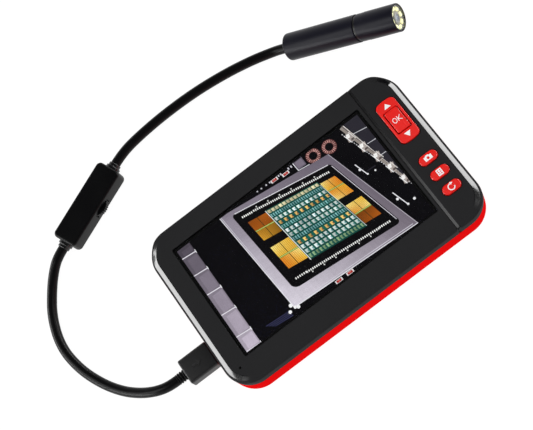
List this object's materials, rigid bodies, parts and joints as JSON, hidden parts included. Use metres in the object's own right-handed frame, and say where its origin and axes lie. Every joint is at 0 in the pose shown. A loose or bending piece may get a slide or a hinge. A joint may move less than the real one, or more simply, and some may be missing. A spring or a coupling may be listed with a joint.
{
  "type": "handheld inspection camera",
  "caption": "Handheld inspection camera: a flat screen unit with keys, a plug-in probe lead with an in-line light dimmer, and a slim camera head with a ring of lights.",
  "frame": {"origin": "centre of the rear housing's flat back, the face the screen unit rests on", "axes": "+X along the long side towards the keys, +Y up the short side of the screen (from the menu keys to the navigation key), +Z out of the screen"},
  "size_m": [0.206, 0.131, 0.0306],
  "materials": {
    "black_bezel": "satin, fine texture, glossy edges",
    "red_shell": "gloss",
    "red_keys": "gloss",
    "clear_window": "polished",
    "display": "lit picture behind glass",
    "tray_metal": "brushed",
    "foam": "matt foam",
    "ribbon_film": "satin film",
    "circuit_green": "lacquered",
    "chip_black": "moulded",
    "coil_grey": "matt",
    "battery_foil": "foil",
    "plated_steel": "nickel plated",
    "screw_steel": "dark zinc",
    "clear_pipe": "clear",
    "lamp_white": "gloss",
    "switch_black": "moulded",
    "card_black": "satin",
    "grip_black": "moulded, fine texture",
    "cable_black": "satin",
    "dimmer_black": "moulded, satin",
    "head_black": "black anodised, satin",
    "seal_black": "smooth",
    "light_board_olive": "lacquered",
    "light_yellow": "lit",
    "lens_black": "satin"
  },
  "bodies": {
    "screen_unit": {"front_housing": "black_bezel", "rear_housing": "red_shell", "housing_screws": "screw_steel", "screen_window": "clear_window", "screen_gasket": "foam", "display_panel": "display", "backlight_tray": "tray_metal", "display_ribbon": "ribbon_film", "ribbon_connector": "chip_black", "main_board": "circuit_green", "processor_chip": "chip_black", "memory_chip": "chip_black", "power_coils": "coil_grey", "status_light": "lamp_white", "board_screws": "screw_steel", "status_light_pipe": "clear_pipe", "battery": "battery_foil", "battery_pad": "foam", "probe_socket": "plated_steel", "charge_socket": "plated_steel", "card_reader": "plated_steel", "switch_bases": "plated_steel", "rocker_pins": "screw_steel"},
    "rocker_key": {"nav_rocker": "red_keys"},
    "up_pin": {"up_plunger": "switch_black"},
    "down_pin": {"down_plunger": "switch_black"},
    "ok_key": {"ok_button": "red_keys", "ok_plunger": "switch_black"},
    "photo_key": {"photo_button": "red_keys", "photo_plunger": "switch_black"},
    "menu_key": {"menu_button": "red_keys", "menu_plunger": "switch_black"},
    "back_key": {"back_button": "red_keys", "back_plunger": "switch_black"},
    "card": {"memory_card": "card_black"},
    "probe": {"plug_shell": "plated_steel", "plug_grip": "grip_black", "plug_neck": "cable_black", "probe_cable_lower": "cable_black", "dimmer_top_shell": "dimmer_black", "dimmer_bottom_shell": "dimmer_black", "dimmer_board": "circuit_green", "dimmer_control": "switch_black", "dimmer_outlet_bush": "cable_black", "dimmer_inlet_bush": "cable_black", "probe_cable_upper": "cable_black", "head_gland": "cable_black", "head_barrel": "head_black", "head_seal": "seal_black", "head_sleeve": "head_black", "lens_window": "clear_window", "light_board": "light_board_olive", "light_chips": "light_yellow", "lens_barrel": "lens_black", "sensor_board": "circuit_green"},
    "wheel": {"dimmer_wheel": "dimmer_black"}
  },
  "joints": [
    {"name": "rocker_tilt", "type": "hinge", "parent": "screen_unit", "child": "rocker_key", "pos_m": [0.0548, 0.0143, 0.0162], "axis": [-1, 0, 0], "range_deg": [-2.5, 2.5], "stiffness_Nm_per_rad": 0.02},
    {"name": "up_press", "type": "slide", "parent": "screen_unit", "child": "up_pin", "axis": [0, 0, -1], "range_m": [-0.00035, 0.00035]},
    {"name": "down_press", "type": "slide", "parent": "screen_unit", "child": "down_pin", "axis": [0, 0, -1], "range_m": [-0.00035, 0.00035]},
    {"name": "ok_press", "type": "slide", "parent": "screen_unit", "child": "ok_key", "axis": [0, 0, -1], "range_m": [0, 0.0005], "stiffness_N_per_m": 200, "springref_m": -0.001},
    {"name": "photo_press", "type": "slide", "parent": "screen_unit", "child": "photo_key", "axis": [0, 0, -1], "range_m": [0, 0.0005], "stiffness_N_per_m": 200, "springref_m": -0.001},
    {"name": "menu_press", "type": "slide", "parent": "screen_unit", "child": "menu_key", "axis": [0, 0, -1], "range_m": [0, 0.0005], "stiffness_N_per_m": 200, "springref_m": -0.001},
    {"name": "back_press", "type": "slide", "parent": "screen_unit", "child": "back_key", "axis": [0, 0, -1], "range_m": [0, 0.0005], "stiffness_N_per_m": 200, "springref_m": -0.001},
    {"name": "card_eject", "type": "slide", "parent": "screen_unit", "child": "card", "axis": [0, 1, 0], "range_m": [0, 0.016]},
    {"name": "probe_unplug", "type": "slide", "parent": "screen_unit", "child": "probe", "axis": [-1, 0, 0], "range_m": [0, 0.009]},
    {"name": "dimmer_turn", "type": "hinge", "parent": "probe", "child": "wheel", "pos_m": [-0.07074, 0.07389, 0.0045], "axis": [0, 0, 1], "range_deg": [0, 270]}
  ],
  "couplings": [
    {"joint": "up_press", "follows": "rocker_tilt", "m_per_rad": 0.0079},
    {"joint": "down_press", "follows": "rocker_tilt", "m_per_rad": -0.0079}
  ]
}
